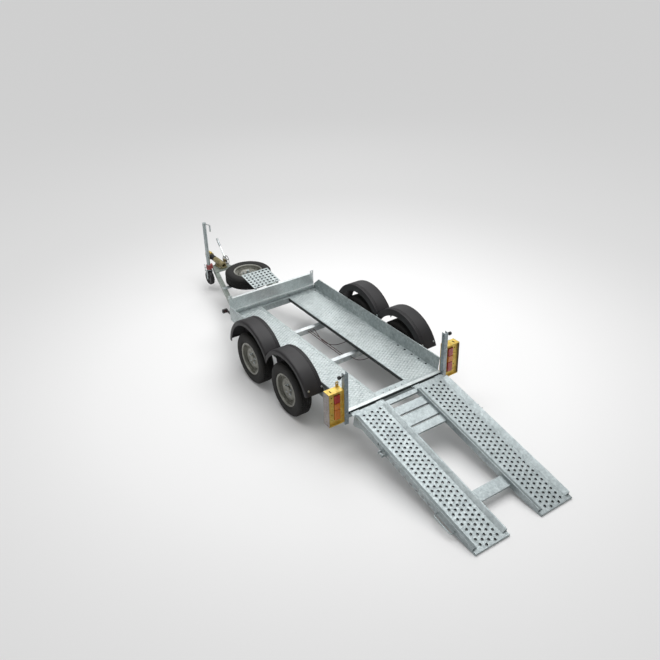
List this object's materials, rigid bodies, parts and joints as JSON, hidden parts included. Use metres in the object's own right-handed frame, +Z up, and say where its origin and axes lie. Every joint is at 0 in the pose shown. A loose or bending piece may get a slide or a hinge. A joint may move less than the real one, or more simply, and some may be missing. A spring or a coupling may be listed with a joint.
{
  "type": "twin axle plant trailer",
  "caption": "Galvanised twin-axle plant trailer with an open-centre deck, a hinged perforated ramp lowered to the ground, a spare wheel, a bucket rest and an overrun coupling.",
  "frame": {"origin": "on the ground, in the middle of the length and width", "axes": "+X forward to the coupling, +Y to the trailer's left, +Z up"},
  "size_m": [6.1183, 1.696, 1],
  "materials": {
    "galvanised": "hot-dip galvanised, matt spangle",
    "bright_zinc": "fresh galvanised",
    "tyre": "moulded rubber",
    "rim_paint": "dull silver paint on pressed steel",
    "guard_plastic": "moulded polypropylene",
    "yellow_zinc": "yellow passivated zinc plate",
    "lens": "moulded red and amber lenses",
    "black_rubber": "moulded rubber",
    "black_paint": "black paint on steel"
  },
  "bodies": {
    "root": {"axle_front": "galvanised", "axle_rear": "galvanised", "brake_cables": "black_rubber", "bucket_rest": "bright_zinc", "bucket_rest_frame": "galvanised", "chassis_rails": "galvanised", "deck_plate_left": "galvanised", "deck_plate_right": "galvanised", "drawbar_head": "galvanised", "drawbar_legs": "galvanised", "front_crossmember": "galvanised", "headboard": "galvanised", "hinge_pins": "galvanised", "jockey_clamp": "galvanised", "lamp_guards": "yellow_zinc", "marker_lamps": "black_rubber", "mudguard_bars": "galvanised", "mudguard_front_left": "guard_plastic", "mudguard_front_right": "guard_plastic", "mudguard_rear_left": "guard_plastic", "mudguard_rear_right": "guard_plastic", "overrun_housing": "yellow_zinc", "rear_crossmember": "galvanised", "rear_lamps": "lens", "rear_posts": "galvanised", "side_rave_left": "galvanised", "side_rave_right": "galvanised", "spare_carrier": "galvanised", "spare_rim": "rim_paint", "spare_tyre": "tyre"},
    "coupling": {"coupling_head": "black_paint", "draw_tube": "yellow_zinc"},
    "coupling_handle": {"coupling_handle": "black_paint"},
    "handbrake": {"handbrake_lever": "black_paint"},
    "jockey_fork": {"jockey_fork": "galvanised"},
    "jockey_tube": {"jockey_tube": "galvanised"},
    "jockey_wheel": {"jockey_wheel": "black_rubber"},
    "ramp": {"ramp_brackets": "galvanised", "ramp_crossbars": "galvanised", "ramp_handles": "galvanised", "ramp_track_left": "galvanised", "ramp_track_right": "galvanised"},
    "ramp_latch_left": {"ramp_latch_left": "black_paint"},
    "ramp_latch_right": {"ramp_latch_right": "black_paint"},
    "wheel_front_left": {"rim_front_left": "rim_paint", "tyre_front_left": "tyre"},
    "wheel_front_right": {"rim_front_right": "rim_paint", "tyre_front_right": "tyre"},
    "wheel_rear_left": {"rim_rear_left": "rim_paint", "tyre_rear_left": "tyre"},
    "wheel_rear_right": {"rim_rear_right": "rim_paint", "tyre_rear_right": "tyre"}
  },
  "joints": [
    {"name": "ramp_hinge", "type": "hinge", "parent": "root", "child": "ramp", "pos_m": [-1.26313, 0, 0.392], "axis": [0, 1, 0], "range_deg": [0, 102.37]},
    {"name": "wheel_rear_left_spin", "type": "hinge", "parent": "root", "child": "wheel_rear_left", "pos_m": [-0.40913, 0.7475, 0.3], "axis": [0, 1, 0], "continuous": true},
    {"name": "wheel_rear_right_spin", "type": "hinge", "parent": "root", "child": "wheel_rear_right", "pos_m": [-0.40913, -0.7475, 0.3], "axis": [0, 1, 0], "continuous": true},
    {"name": "wheel_front_left_spin", "type": "hinge", "parent": "root", "child": "wheel_front_left", "pos_m": [0.35487, 0.7475, 0.3], "axis": [0, 1, 0], "continuous": true},
    {"name": "wheel_front_right_spin", "type": "hinge", "parent": "root", "child": "wheel_front_right", "pos_m": [0.35487, -0.7475, 0.3], "axis": [0, 1, 0], "continuous": true},
    {"name": "latch_left_slide", "type": "slide", "parent": "root", "child": "ramp_latch_left", "axis": [0, -1, 0], "range_m": [0, 0.024]},
    {"name": "latch_right_slide", "type": "slide", "parent": "root", "child": "ramp_latch_right", "axis": [0, 1, 0], "range_m": [0, 0.024]},
    {"name": "overrun_slide", "type": "slide", "parent": "root", "child": "coupling", "axis": [1, 0, 0], "range_m": [-0.08, 0]},
    {"name": "coupling_handle_lift", "type": "hinge", "parent": "coupling", "child": "coupling_handle", "pos_m": [2.92687, 0, 0.442], "axis": [0, -1, 0], "range_deg": [0, 50]},
    {"name": "handbrake_pull", "type": "hinge", "parent": "root", "child": "handbrake", "pos_m": [2.59687, -0.064, 0.433], "axis": [0, -1, 0], "range_deg": [-45, 45]},
    {"name": "jockey_clamp_slide", "type": "slide", "parent": "root", "child": "jockey_tube", "axis": [0, 0, 1], "range_m": [-0.09, 0]},
    {"name": "jockey_screw", "type": "slide", "parent": "jockey_tube", "child": "jockey_fork", "axis": [0, 0, 1], "range_m": [-0.2, 0]},
    {"name": "jockey_wheel_spin", "type": "hinge", "parent": "jockey_fork", "child": "jockey_wheel", "pos_m": [2.70687, 0.14862, 0.19], "axis": [0, 1, 0], "continuous": true}
  ]
}
